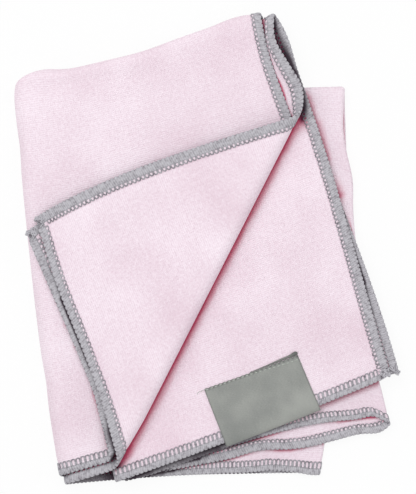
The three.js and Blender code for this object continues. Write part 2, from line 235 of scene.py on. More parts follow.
# The middle radius of each fold's nest, and where the outermost of its layers reaches.
FIRST_RADIUS, SECOND_RADIUS, THIRD_RADIUS = LAYER_PITCH / 2, LAYER_PITCH, 2 * LAYER_PITCH
SECOND_OUTER, THIRD_OUTER = 1.5 * LAYER_PITCH, 3.5 * LAYER_PITCH


def smooth(t):
    x = np.clip(t, 0, 1)
    return x * x * (3 - 2 * x)


def bend(distance, radius, outer, reach):
    """A strip bent in half: how far each point lies in from the nest's outermost line, and its height."""
    quarter = math.pi / 2 * radius
    angle = distance / radius
    flat_part = (np.abs(distance) - quarter) / (reach - quarter)
    curved = np.abs(distance) < quarter
    inward = np.where(curved, outer - radius * np.cos(angle), outer + flat_part * (reach - outer))
    across = np.where(curved, -radius * np.sin(angle), -np.sign(distance) * radius)
    return inward, across


def square_pack(u, v):
    """Where a flat place comes to lie after the three bends, before its panel slides."""
    inward, across = bend(u - 2 * PANEL_WIDTH, FIRST_RADIUS, FIRST_RADIUS, 2 * PANEL_WIDTH)
    along = 2 * PANEL_WIDTH - inward
    down, across = bend(v - PANEL_LENGTH, SECOND_RADIUS + across, SECOND_OUTER, PANEL_LENGTH)
    x, height = bend(along - PANEL_WIDTH, THIRD_RADIUS + across, THIRD_OUTER, PANEL_WIDTH)
    return x, -down, height


print("a place 75 mm in, 100 mm down:", [round(float(x), 2) for x in square_pack(75.0, 100.0)])

# %% [markdown]
# No towel is folded quite square. The sheet's eight panels meet at a net of fifteen corners, three rows of
# five, and each corner is given its place in plan. Between two corners a panel's side is straight or bulges
# a little, to one side or the other.

# %% Where each panel lies
PANEL_CORNERS = np.array([
    [[53.9, -94.7], [-100.4, -97.3], [29.6, -126.1], [-98.6, -102.3], [68.0, -97.4]],
    [[53.8, 110.5], [-74.7, 107.7], [86.4, 64.0], [-74.7, 105.1], [59.9, 106.8]],
    [[81.0, -85.3], [-69.0, -110.7], [71.4, -110.1], [-73.0, -106.8], [76.4, -85.5]],
])
# How far the middle of each panel's side bulges, and how far that bulge leans to the side's far end.
STRAIGHT, TOP_FOLD, LEFT_FOLD = (0, 0), (-3.1, 1.15), (-2.2, -0.4)
SIDES_ACROSS = np.array([
    [(1.9, 0.1), STRAIGHT, (2, 0), (1.8, 0.2)],
    [TOP_FOLD, (-4.3, 0), STRAIGHT, TOP_FOLD],
    [(10, 0), (5.6, 2), (-1, -2), (-1.3, 0)],
])
SIDES_ALONG = np.array([
    [(7.4, -1.15), LEFT_FOLD, (6.5, 0), LEFT_FOLD, (4.7, -1.1)],
    [(2.9, 0.65), STRAIGHT, (-5.5, 0.5), STRAIGHT, (3, -0.8)],
])
square_corners = np.array([[square_pack(float(i * PANEL_WIDTH), float(j * PANEL_LENGTH))[:2]
                            for i in range(5)] for j in range(3)])
CORNER_SLIDES = PANEL_CORNERS - square_corners


def bulge(side, t):
    return side[..., 0] * 4 * t * (1 - t) * (1 + side[..., 1] * (2 * t - 1))


print("panel corners:", len(PANEL_CORNERS), "rows of", len(PANEL_CORNERS[0]))

# %% [markdown]
# Folds and free edges also wave, over a few centimetres or less. Each wave is an entry of a table: the flat
# place, how far the wave reaches to each side along u and v, and how far it moves the cloth in X and Y. The
# first table's waves move both halves of the sheet, because their layers lie in each other there. Those of
# the second table move one place alone. All of them come before the corner is rolled back.

# %% Waves of the folds and edges
FOLD_WAVES = [
    ((133, 200), (9, 12), (0.0, 1.9)), ((72, 200), (18, 14), (-0.1, -1.0)),
    ((16, 200), (12, 12), (0.1, 1.3)), ((150, 200), (7, 7), (2.0, -2.2)),
    ((150, 163), (12, 9), (0.6, 0.0)), ((150, 47), (12, 9), (0.6, 0.0)),
]
EDGE_WAVES = [
    ((0, 180), (14, 27), (-1.6, 0.4)), ((600, 200), (10, 12), (0.4, 1.7)),
    ((600, 214), (12, 12), (1.5, 0.5)), ((600, 189), (8, 10), (-3.4, 0.0)),
    ((600, 163), (14, 9), (2.7, 0.0)), ((600, 0), (22, 16), (0.35, 4.0)),
    ((540, 0), (50, 5), (-0.1, 1.2)), ((0, 0), (16, 14), (2.8, 0.2)),
    ((300, 226), (12, 17), (-1.8, 0.0)), ((300, 256), (12, 12), (1.2, 0.0)),
    ((300, 200), (9, 7), (0.5, -0.6)), ((292, 400), (8, 13), (0.0, 2.8)),
    ((307, 400), (8, 13), (0.0, -2.4)), ((300, 400), (9, 12), (-0.9, 0.0)),
    ((345, 400), (22, 14), (0.0, -1.2)), ((371, 400), (12, 12), (0.0, 2.0)),
    ((188, 400), (50, 45), (1.3, 5.8)), ((303, 0), (8, 8), (-0.3, -1.3)),
    ((328, 0), (10, 10), (0.0, 1.0)), ((92, 0), (8, 10), (-0.8, -0.3)),
]


def spot(u, v, middle, reach):
    """1 at one flat place, and less and less round it."""
    return np.exp(-((u - middle[0]) / reach[0]) ** 2 - ((v - middle[1]) / reach[1]) ** 2)


def waves(u, v):
    moved = np.zeros((2, *np.shape(u)))
    folded = LONG_SIDE / 2 - np.abs(u - LONG_SIDE / 2)
    for along, table in ((folded, FOLD_WAVES), (u, EDGE_WAVES)):
        for middle, reach, by in table:
            moved += np.multiply.outer(by, spot(along, v, middle, reach))
    return moved


def slide(u, v):
    """How far a flat place slides in plan, between the slides of its panel's corners and sides."""
    i = np.clip(np.floor(u / PANEL_WIDTH), 0, 3).astype(int)
    j = np.clip(np.floor(v / PANEL_LENGTH), 0, 1).astype(int)
    s, t = u / PANEL_WIDTH - i, v / PANEL_LENGTH - j
    moved = []
    for axis in (0, 1):
        corner = CORNER_SLIDES[..., axis]
        near = (1 - s) * corner[j, i] + s * corner[j, i + 1]
        far = (1 - s) * corner[j + 1, i] + s * corner[j + 1, i + 1]
        moved.append((1 - t) * near + t * far)
    moved[0] += (1 - s) * bulge(SIDES_ALONG[j, i], t) + s * bulge(SIDES_ALONG[j, i + 1], t)
    moved[1] += (1 - t) * bulge(SIDES_ACROSS[j, i], s) + t * bulge(SIDES_ACROSS[j + 1, i], s)
    return np.array(moved) + waves(u, v)


print("waves:", len(FOLD_WAVES), "of the folds and", len(EDGE_WAVES), "of the edges")

# %% [markdown]
# Real cloth never lies quite flat. A gentle swell runs through the whole pack, so that no layer meets the
# next, with two pressed wrinkles in it. Each layer also has a faint ripple of its own that fades towards
# the seams.

# %% Swell and ripple
SWELL = 0.035            # as a share of the pack's height, as the wrinkles are
RIPPLE = 0.16
RIPPLE_FROM, RIPPLE_GROWS = 9, 14        # distances from the edge
# A wrinkle's ridge, then the groove beside it: the place and lean of its line, its width and its height.
# The top wrinkle fades towards the right, and the left one towards both its ends.
TOP_WRINKLE = [(-98, 0.10, 2.6, 0.020), (-93.5, 0.10, 2.4, -0.030)]
LEFT_WRINKLE = [(72, -0.10, 3.2, 0.020), (65, -0.12, 3.0, -0.014)]


def wrinkle(across, along, lines):
    return sum(height * np.exp(-((across + place + lean * along) / width) ** 2)
               for place, lean, width, height in lines)


def swell(x, y):
    """How much thicker or thinner the pack is at a place in plan, as a share of its height."""
    wave = SWELL * np.sin(x / 23 + 0.6 * np.sin(y / 31)) * np.sin(y / 29 + 1.1)
    top = wrinkle(y, x, TOP_WRINKLE) * smooth((30 - x) / 60)
    left = wrinkle(x, y, LEFT_WRINKLE) * smooth((60 - np.abs(y + 10)) / 30)
    return wave + top + left


def edge_distance(u, v):
    return np.minimum(np.minimum(u, LONG_SIDE - u), np.minimum(v, SHORT_SIDE - v))


def ripple(u, v):
    wave = np.sin(u / 9.1 + 1.7 * np.sin(v / 21)) * np.sin(v / 12.7 + 1.3 * np.sin(u / 17))
    return RIPPLE * wave * smooth((edge_distance(u, v) - RIPPLE_FROM) / RIPPLE_GROWS)


some_u, some_v = np.meshgrid(np.arange(0.0, LONG_SIDE, 10), np.arange(0.0, SHORT_SIDE, 10))
print("the ripple is up to", round(float(np.abs(ripple(some_u, some_v)).max()), 2), "mm high")

# %% [markdown]
# The free corner of the two top layers is turned back over two creases, one for each layer. The top layer's
# crease is tight, and the second layer's is a wider roll round it. Seen from above both run straight across
# the pack, and near the hem they drift in a little.

# %% The creases
CREASE_ANGLE = math.radians(-40)
ACROSS_CREASE = (math.cos(CREASE_ANGLE), math.sin(CREASE_ANGLE))
CREASES = {  # where it lies, its radius, the flap's rest above its layer, how soon it settles, its drift
    "upper": (7.7, 2.2, LAYER_PITCH, 34, 3.3),
    "lower": (10.5, 5.0, 3 * LAYER_PITCH, 45, 1.5),
}
DRIFT_FROM, DRIFT_OVER = 90, 33      # distances along the crease
SEAM_LIFT = 0.24         # the lowest layer rises this much at its edge, so that its seam clears the floor
DRAWN_IN_TO = 6.5        # the seam draws the cloth in up to here
SEAM_LIFT_OVER = 8       # and over this length the layer comes down again
LAYERS_TO_LOWEST = 2.5   # layers from the middle of the pack down to the last gap


def packed_point(u, v):
    """The place of the sheet's middle surface before the corner is turned back."""
    x, y, height = square_pack(u, v)
    dx, dy = slide(u, v)
    lowest = smooth(-height / LAYER_PITCH - LAYERS_TO_LOWEST)
    at_hem = 1 - smooth((v - DRAWN_IN_TO) / SEAM_LIFT_OVER)
    lift = np.where(v < PANEL_LENGTH, SEAM_LIFT * lowest * at_hem, 0)
    return x + dx, y + dy, MIDDLE_OF_PACK + height + lift


def past_crease(x, y, name):
    """Distance in plan past the line where a crease starts to rise. Near the hem the crease drifts in."""
    at, radius, _, _, drift = CREASES[name]
    along = x * ACROSS_CREASE[1] - y * ACROSS_CREASE[0]
    start = at - radius - drift * smooth((along - DRIFT_FROM) / DRIFT_OVER)
    return x * ACROSS_CREASE[0] + y * ACROSS_CREASE[1] - start


print("creases:", {name: f"radius {values[1]} mm" for name, values in CREASES.items()})

# %% [markdown]
# Now all of it comes together. In the two top panels a point past its crease is carried round the roll and
# then back over the pack, where the flap settles onto the layers under it. A second function sets a point
# off square to the sheet. It makes the cloth's two faces, and later lays every thread on them.

# %% The place of each point
PACK_SHIFT = (7.1399, 7.8911)        # brings the middle of the outline over the origin
UNDERSIDE, UNDERSIDE_RIPPLE = 1, 0.3     # a layer below this height lies on the floor and ripples less
# Where a free edge stands up off the layer under it: the flat place, the reach of the lift, its height.
LIFTS = [
    ((600, 167), (7, 17), 5.0), ((600, 189), (7, 10), 2.6),
    ((474, 400), (36, 10), 3.2), ((560, 400), (30, 8), 0.8),
]


def laid_point(u, v):
    """The place of the sheet's middle surface, in millimetres, for arrays of flat places."""
    x, y, z = packed_point(u, v)
    z = z + ripple(u, v) * np.where(z < UNDERSIDE, UNDERSIDE_RIPPLE, 1)
    for middle, reach, height in LIFTS:
        z = z + height * spot(u, v, middle, reach)
    front = v < PANEL_LENGTH
    for name, here in (("upper", front & (u < PANEL_WIDTH)), ("lower", front & (u > 3 * PANEL_WIDTH))):
        _, radius, rest, settle, _ = CREASES[name]
        past = np.where(here, past_crease(x, y, name), 0)
        rolled = past > 0
        angle = np.minimum(past / radius, math.pi)
        back = np.maximum(past - math.pi * radius, 0)
        moved = np.where(rolled, radius * np.sin(angle) - back - past, 0)
        drop = (2 * radius - rest) * smooth(back / settle)
        x = x + moved * ACROSS_CREASE[0]
        y = y + moved * ACROSS_CREASE[1]
        z = z + np.where(rolled, radius * (1 - np.cos(angle)) - drop, 0)
    z = z * (1 + swell(x, y))
    return np.stack([x + PACK_SHIFT[0], y + PACK_SHIFT[1], z], axis=-1)


def offset_point(u, v, away):
    """The same, set off square to the sheet. Positive is the side that was the sheet's upper one."""
    step = 0.02
    across_u = laid_point(u + step, v) - laid_point(u - step, v)
    across_v = laid_point(u, v + step) - laid_point(u, v - step)
    normal = np.cross(across_v, across_u)
    normal /= np.linalg.norm(normal, axis=-1, keepdims=True)
    return laid_point(u, v) + normal * np.asarray(away)[..., None]


label_middle = laid_point(np.array(533.0), np.array(386.0))
print("the label's middle lies at", [round(float(x), 1) for x in label_middle])

# %% [markdown]
# ## The cloth
# The sheet starts as a flat grid of its own flat places, with lines close together in the hem and where it
# will bend. A bend has the same number of lines on every layer of its nest, so its lines follow the radius
# of the layer that they are on.

# %% Lines of the grid
FOLD_STEPS = {"first": 8, "second": 9, "third": 12}
HEM_LINES = [0, 1.2, 2.4, 3.1, 4.1, 5.1, 5.8, 6.5, 7.5, 9]
HEM = HEM_LINES[-1]
# Columns between the hem and the third fold, as shares of the way. They are close beside the hem, where
# the short sides wave most.
NEAR_HEM = [0.008, 0.016, 0.025, 0.034, 0.044, 0.055, 0.066, 0.078, 0.09, 0.103, 0.117, 0.132]
OUTER_COLUMNS, TAKEN_BY_NEAR_HEM = 40, 5
INNER_COLUMNS = 26
OUTER_ROWS, INNER_ROWS = 64, 52


def turns(steps):
    return (np.arange(steps + 1) / steps - 0.5) * math.pi


def spread(count):
    return (np.arange(1, count) / count).tolist()


def grid_columns():
    """Each column: its height in the first fold, its kind, its value, and whether it is in the far half."""
    half = FIRST_RADIUS
    columns = [(half, "hem", u) for u in HEM_LINES]
    columns += [(half, "outer", s) for s in NEAR_HEM + spread(OUTER_COLUMNS)[TAKEN_BY_NEAR_HEM:]]
    columns += [(half, "third", a) for a in turns(FOLD_STEPS["third"])]
    columns += [(half, "inner", s) for s in spread(INNER_COLUMNS)]
    after = [(-half, kind, value, True) for _, kind, value in reversed(columns)]
    columns += [(-half * math.sin(a), "first", a) for a in turns(FOLD_STEPS["first"])]
    return [(*column, False) for column in columns] + after


def grid_rows():
    rows = [("hem", v) for v in HEM_LINES] + [("outer", s) for s in spread(OUTER_ROWS)]
    rows += [("second", a) for a in turns(FOLD_STEPS["second"])]
    return rows + [("inner", s) for s in spread(INNER_ROWS)] + [("last", v) for v in reversed(HEM_LINES)]


def row_place(kind, value, radius):
    start = math.pi / 2 * radius
    return {
        "hem": value,
        "outer": HEM + value * (PANEL_LENGTH - start - HEM),
        "second": PANEL_LENGTH + value * radius,
        "inner": PANEL_LENGTH + start + value * (PANEL_LENGTH - HEM - start),
        "last": SHORT_SIDE - value,
    }[kind]


def column_place(kind, value, radius):
    start = math.pi / 2 * radius
    return {
        "hem": value,
        "outer": HEM + value * (PANEL_WIDTH - start - HEM),
        "third": PANEL_WIDTH + value * radius,
        "inner": PANEL_WIDTH + start + value * (PANEL_WIDTH - start - math.pi / 2 * FIRST_RADIUS),
        "first": 2 * PANEL_WIDTH + value * FIRST_RADIUS,
    }[kind]


def fold_grid():
    """Flat places u[row, column] and v[row, column] of the whole grid."""
    rows, columns = grid_rows(), grid_columns()
    places = np.empty((len(rows), len(columns), 2))
    for i, (height, kind, value, far_half) in enumerate(columns):
        radius = SECOND_RADIUS + height
        for j, row in enumerate(rows):
            v = row_place(*row, radius)
            _, across = bend(v - PANEL_LENGTH, radius, SECOND_OUTER, PANEL_LENGTH)
            u = column_place(kind, value, THIRD_RADIUS + float(across))
            places[j, i] = (LONG_SIDE - u if far_half else u, v)
    return places


places = fold_grid()
print("grid of", places.shape[0], "rows and", places.shape[1], "columns")

# %% [markdown]
# The two panels that are turned back are also cut along their creases. Each point's height is set to its
# distance past the crease, so a level cut in this strange landscape is a cut along the crease. The panel
# beside the roll is cut the same way, to hold its shading.

# %% Cut the grid along the creases
ROLL_STEPS = 12
BESIDE_ROLL = [-1.0, 0.0, 0.5, 1.0, 1.6, 2.4, 3.4, 4.8, 6.6, 9.0]    # from the lower roll's outline
FROM_FOLDS = 12          # the cuts keep this far from the folds in half
CUT_SNAPS = 0.05         # a cut this near to a corner goes through it


def in_panel(name, u, v):
    """True in the flat part of the panel that these cuts are for."""
    right = u > 3 * PANEL_WIDTH + FROM_FOLDS
    if name == "beside":
        return right & (v > PANEL_LENGTH + FROM_FOLDS)
    side = u < PANEL_WIDTH - FROM_FOLDS if name == "upper" else right
    return side & (v < PANEL_LENGTH - FROM_FOLDS)


def landscape(name, x, y):
    if name == "beside":
        return past_crease(x, y, "lower") - CREASES["lower"][1] - CLOTH_THICKNESS / 2
    return past_crease(x, y, name)


def cut_level(sheet, name, level):
    """Cut the faces of one panel at one height."""
    near = [f for f in sheet.faces if all(in_panel(name, v.co.x, v.co.y) for v in f.verts)
            and min(v.co.z for v in f.verts) < level < max(v.co.z for v in f.verts)]
    edges = {e for f in near for e in f.edges}
    corners = {v for f in near for v in f.verts}
    bmesh.ops.bisect_plane(sheet, geom=[*near, *edges, *corners], dist=CUT_SNAPS,
                           plane_co=(0, 0, level), plane_no=(0, 0, 1))


def scored_sheet(places):
    """The flat sheet as faces of flat places, cut where the two creases bend it."""
    rows, columns = places.shape[:2]
    flat = places.reshape(-1, 2)
    x, y, _ = packed_point(flat[:, 0], flat[:, 1])
    cuts = {name: math.pi * CREASES[name][1] * np.arange(ROLL_STEPS + 1) / ROLL_STEPS for name in CREASES}
    cuts["beside"] = BESIDE_ROLL
    heights = np.zeros(len(flat))
    for name in cuts:
        here = in_panel(name, flat[:, 0], flat[:, 1])
        heights[here] = landscape(name, x, y)[here]
    sheet = bmesh.new()
    verts = [sheet.verts.new((u, v, h)) for (u, v), h in zip(flat, heights)]
    index = np.arange(rows * columns).reshape(rows, columns)
    quads = np.stack([index[:-1, :-1], index[:-1, 1:], index[1:, 1:], index[1:, :-1]], -1).reshape(-1, 4)
    for quad in quads:
        sheet.faces.new([verts[k] for k in quad])
    for name, levels in cuts.items():
        for level in levels:
            cut_level(sheet, name, float(level))
    return sheet


sheet = scored_sheet(places)
print("faces of the flat sheet:", len(sheet.faces))

# %% [markdown]
# Both faces of the cloth are now folded, half a thickness to each side of its middle surface, and joined
# round the rim. The seam's threads press the cloth thin at its edge, and between them it puffs up in small
# bright eyelets, so its thickness changes across the hem.

# %% Fold the cloth, both faces
HEM_SECTION = (   # distances from the edge, and half the cloth's thickness at each
    [0, 2.4, 3.1, 4.1, 5.1, 5.8, 6.5, 7.5, 9],
    [0.28, 0.28, 0.45, 0.58, 0.56, 0.42, 0.40, 0.55, 0.60],
)


def folded_cloth(sheet):
    sheet.verts.index_update()
    flat = np.array([(v.co.x, v.co.y) for v in sheet.verts])
    u, v = flat.T
    half = np.interp(edge_distance(u, v), *HEM_SECTION)
    points = np.concatenate([offset_point(u, v, half), offset_point(u, v, -half)])
    under = len(flat)
    faces = []
    for face in sheet.faces:
        corners = [vert.index for vert in face.verts]
        faces.append(corners[::-1])
        faces.append([k + under for k in corners])
    for edge in sheet.edges:
        if edge.is_boundary:
            loop = edge.link_loops[0]
            a, b = loop.vert.index, loop.link_loop_next.vert.index
            faces.append([a, b, b + under, a + under])
    return points, faces, np.concatenate([flat, flat])


cloth_points, cloth_faces, cloth_flat = folded_cloth(sheet)
sheet.free()
print("cloth:", len(cloth_points), "points,", len(cloth_faces), "faces")

# %% [markdown]
# Deep between the layers the pink looks much stronger, because the light there has been from cloth to
# cloth many times. The lamps do most of this. A value on each point adds the rest: the share of the half
# space above it that is closed off nearby, where what is closed off towards the key lamp counts for more.

# %% How shut in each point is
RAYS = 18
NEARBY = 14.0
RAYS_START = 0.05        # clear of the point's own face
STEEPEST_RAYS = 4
BURIED_UNDER = 1.8       # with cloth this near along the steepest rays, a point lies inside the pack
KEY_SHARE = 0.95
TO_KEY = Vector((KEY_PLACE[0], KEY_PLACE[1], 0)).normalized()


def sky_directions():
    """Directions spread evenly over the half space above a surface, the steepest first."""
    golden = math.pi * (3 - math.sqrt(5))
    steep = np.sqrt((np.arange(RAYS)[::-1] + 0.5) / RAYS)
    flat_part = np.sqrt(1 - steep ** 2)
    turn = np.arange(RAYS) * golden
    return [Vector(d) for d in np.column_stack([flat_part * np.cos(turn), flat_part * np.sin(turn), steep])]


SKY = sky_directions()


def shut_in(tree, points, normals):
    """For each point, the share of the half space in front of it that cloth closes off nearby."""
    closed = np.empty(len(points))
    for k, (point, normal) in enumerate(zip(points, normals)):
        n = Vector(normal)
        turn = n.to_track_quat("Z", "Y")
        start = Vector(point) + n * RAYS_START
        total = nearest = everything = 0.0
        for count, ray in enumerate(SKY, start=1):
            direction = turn @ ray
            share = 1 + KEY_SHARE * direction.dot(TO_KEY)
            everything += share
            distance = tree.ray_cast(start, direction, NEARBY)[3]
            if distance is not None:
                total += share * (1 - distance / NEARBY)
                nearest += 1 - distance / NEARBY
            if count == STEEPEST_RAYS and nearest > STEEPEST_RAYS * (1 - BURIED_UNDER / NEARBY):
                total = everything
                break
        closed[k] = total / everything
    return closed


def point_normals(points, faces):
    normals = np.zeros_like(points)
    corners = np.array([face[:3] for face in faces])
    a, b, c = (points[corners[:, k]] for k in range(3))
    square = np.cross(b - a, c - a)
    for k in range(3):
        np.add.at(normals, corners[:, k], square)
    return normals / np.maximum(np.linalg.norm(normals, axis=1, keepdims=True), 1e-9)


cloth_tree = BVHTree.FromPolygons([Vector(p) for p in cloth_points], cloth_faces)
cloth_closed = shut_in(cloth_tree, cloth_points, point_normals(cloth_points, cloth_faces))
print("buried inside the pack:", int((cloth_closed == 1).sum()), "of", len(cloth_closed), "points")

# %% [markdown]
# A point buried between two layers takes the value of its open neighbours, so that it doesn't darken them.
# A few hollows are still darker in the photograph than rays of this length tell, and they get some more
# painted shade from a table.

# %% Even out the shade, and deepen the hollows
BURIED = 0.80
BURIED_ROUNDS = 3
# Painted shade in the hollows: the flat place, the reach along u and v, and how much darker.
PAINTED_HOLLOW_SHADE = [
    ((596, 232), (5, 27), 0.50), ((590, 168), (3, 11), 0.15), ((195, 400), (65, 8), 0.26),
    ((425, 0), (28, 8), 0.38), ((106, 0), (10, 8), 0.30), ((288, 290), (7, 45), 0.13),
]


def from_neighbours(closed, corners, known):
    """The mean over the known corners of each point's faces, and whether it has any."""
    count = known[corners].sum(1)
    mean = (closed[corners] * known[corners]).sum(1) / np.maximum(count, 1)
    total, times = np.zeros(len(closed)), np.zeros(len(closed))
    for k in range(4):
        np.add.at(total, corners[count > 0, k], mean[count > 0])
        np.add.at(times, corners[count > 0, k], 1)
    return total / np.maximum(times, 1), times > 0


def opened(closed, faces):
    """The same values, with each buried point's taken from its open neighbours, and all evened out once."""
    buried = closed > BURIED
    corners = np.array([[*face, face[-1]][:4] for face in faces])
    for _ in range(BURIED_ROUNDS):
        around, reached = from_neighbours(closed, corners, ~buried)
        closed = np.where(buried & reached, around, closed)
        buried &= ~reached
    around, reached = from_neighbours(closed, corners, ~buried)
    return np.where(reached, (closed + around) / 2, closed)


def painted_hollow_shade(u, v):
    return sum(more * spot(u, v, middle, reach) for middle, reach, more in PAINTED_HOLLOW_SHADE)


cloth_shade = opened(cloth_closed, cloth_faces) + painted_hollow_shade(*cloth_flat.T)
print(f"shut in: mean {cloth_shade.mean():.2f}, open {np.mean(cloth_shade < 0.05):.2f}")

# %% [markdown]
# ## Microfibre
# The cloth is a warp knit: fine ribs run along the sheet's long side, about one to the millimetre, and a
# short nap stands on them in tufts. The ribs read the flat UV map, so they follow the cloth round every
# fold. They show in some places and are brushed flat in others.

# %% Microfibre, its nap
RIB_PITCH, WALE_PITCH = 0.00105, 0.0013
RIBS_SHOW = (0.42, 0.60)     # where the cloudy noise lets them
NAP_SHADE, NAP_LIGHT = linear(229, 206, 218), linear(251, 238, 247)
microfibre, wire, shader = new_material("pink microfibre", roughness=0.95, specular_ior_level=0.18,
                                        sheen_weight=0.35, sheen_roughness=0.55,
                                        sheen_tint=linear(255, 236, 244))
flat = wire.node("UVMap", {"uv_map": "flat"})
along_long = wire.node("SeparateXYZ", inputs={0: flat}, output=0)
along_short = wire.node("SeparateXYZ", inputs={0: flat}, output=1)
drift = noise(flat, 140, 2)
rib = wire.math("SINE", along_short * (2 * math.pi / RIB_PITCH) + drift * 5)
wale = wire.math("SINE", along_long * (2 * math.pi / WALE_PITCH) + drift * 4)
nap = noise(flat, 1100, 3)
tufts = noise(flat, 560, 3)
cloudy = noise(flat, 26, 2)
rows = rib * cloudy.soft_step(*RIBS_SHOW)
tone = (rows * 0.10 + wale * 0.02 + nap * 0.50 + tufts * 0.45 + (cloudy - 0.5) * 0.7).soft_step(0.05, 0.95)
surface = tone.mix(NAP_SHADE, NAP_LIGHT)
height = rib * 0.22 + wale * 0.12 + nap * 0.9 + tufts * 1.1
feed(wire.node("Bump", inputs={"Strength": 0.45, "Distance": 0.0004, "Height": height}), shader, "Normal")
print("ribs to the millimetre:", round(0.001 / RIB_PITCH, 2))

# %% [markdown]
# Near the sheet's edge the same map tells where the cloth puffs up in the seam's eyelets, one a stitch, and
# where the needle presses it in. Each eyelet gets a painted highlight, and the pressed cloth round it
# painted shade. Last, the shut-in values paint shade that turns the pink deeper, and in the hem deeper
# still.

# %% Microfibre, its hem and hollows
STITCH = 2.3             # the seam takes one stitch in this length, with one eyelet
EYELETS_FROM = 5.6       # a side's eyelets start and end this far from its ends
# Bands along the edge, in metres from it: the soft step that each starts with, and the one it ends with.
EYELET_HIGHLIGHT_BAND = (0.0020, 0.0026), (0.0047, 0.0053)
PRESSED_SHADE_BAND = (0.0030, 0.0036), (0.0052, 0.0062)
HEM_BAND_ENDS = (0.0060, 0.0085)
PRESSED_SHADE_PINK, EYELET_HIGHLIGHT_PINK = linear(196, 168, 182), linear(243, 233, 240)
PAINTED_SHADE_PINK, PAINTED_DEEP_SHADE_PINK = linear(200, 76, 110), linear(92, 34, 58)


def first_eyelet(side):
    """Where a side's first eyelet lies, so that the last lies as far from the side's other end."""
    span = side - 2 * EYELETS_FROM
    return EYELETS_FROM + (span - (int(span / STITCH) - 1) * STITCH) / 2


def stitches_along(wire, side):
    """Counts a side's stitches from the middle of its first eyelet."""
    return (wire - first_eyelet(side) / 1000) * (1000 / STITCH)


to_long_sides = wire.math("MINIMUM", along_short, SHORT_SIDE / 1000 - along_short)
to_short_sides = wire.math("MINIMUM", along_long, LONG_SIDE / 1000 - along_long)
from_edge = wire.math("MINIMUM", to_long_sides, to_short_sides)
on_long = wire.math("LESS_THAN", to_long_sides, to_short_sides)
stitches = (on_long * stitches_along(along_long, LONG_SIDE)
            + (1 - on_long) * stitches_along(along_short, SHORT_SIDE))
inside_loop = wire.math("COSINE", stitches * (2 * math.pi)).soft_step(-0.55, 0.35)
eyelet_highlight = inside_loop * from_edge.between(*EYELET_HIGHLIGHT_BAND)
# Painted shade on the cloth that the needle presses in round the loops.
surface = (from_edge.between(*PRESSED_SHADE_BAND) * 0.45).mix(surface, PRESSED_SHADE_PINK)
# A painted highlight on the cloth that puffs up in each eyelet.
surface = (eyelet_highlight * 0.5).mix(surface, EYELET_HIGHLIGHT_PINK)
shade = wire.node("Attribute", {"attribute_name": "shade"}, output="Fac")
# Painted shade: the shut-in values deepen the pink, and in the hem deeper still.
painted_shade = shade.soft_step(0.12, 0.48)
painted_deep_shade = shade.soft_step(0.24, 0.46) * (1 - from_edge.soft_step(*HEM_BAND_ENDS))
feed(painted_deep_shade.mix(painted_shade.mix(surface, PAINTED_SHADE_PINK), PAINTED_DEEP_SHADE_PINK), shader, "Base Color")
print("the first eyelets lie", [round(first_eyelet(side), 2) for side in (LONG_SIDE, SHORT_SIDE)], "mm in")

# %% [markdown]
# The two faces and the rim are one closed piece, which stands for the cloth's solid. Its flat places become
# its UV map, and its shade becomes an attribute of its points. The same function makes every other piece.


# %% The cloth as a piece
def mesh_object(name, points_mm, faces, material, flat=None, values=None):
    """A smooth piece from points in millimetres, with its flat places as a UV map in metres."""
    mesh = bpy.data.meshes.new(name)
    mesh.from_pydata(np.asarray(points_mm) / 1000, [], faces)
    mesh.materials.append(material)
    mesh.polygons.foreach_set("use_smooth", [True] * len(mesh.polygons))
    if flat is not None:
        corners = np.empty(len(mesh.loops), int)
        mesh.loops.foreach_get("vertex_index", corners)
        layer = mesh.uv_layers.new(name="flat")
        layer.uv.foreach_set("vector", (np.asarray(flat)[corners] / 1000).ravel())
    for value_name, value in (values or {}).items():
        layer = mesh.attributes.new(value_name, "FLOAT", "POINT")
        layer.data.foreach_set("value", np.asarray(value, float))
    mesh.update()
    piece = bpy.data.objects.new(name, mesh)
    bpy.context.collection.objects.link(piece)
    return piece


cloth = mesh_object("towel", cloth_points, cloth_faces, microfibre, cloth_flat, {"shade": cloth_shade})
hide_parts("towel_cloth")
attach(cloth, "root")
print("cloth piece:", len(cloth.data.polygons), "faces")

# %% [markdown]
# ## The overlock seam
# An overlock machine wraps the cloth's edge in three threads. The two looper threads are woolly and lie
# close together as a thick cord round the edge. Towards the cloth they open into one small loop a stitch,
# and the cloth puffs up bright inside each. One loop is modelled as by hand: a ring of thread, drawn out
# along one leg, spun round the top, drawn back and closed at both ends. Copies are laid along the seam.

# %% One loop of thread
THREAD_RADIUS = 0.36
THREAD_SIDES = 5
LOOP_HALF = 0.90
LOOP_FROM, LOOP_TURN = 2.0, 4.25
LEG_STEPS, TURN_STEPS = 2, 6


def deselect():
    bpy.ops.object.select_all(action="DESELECT")


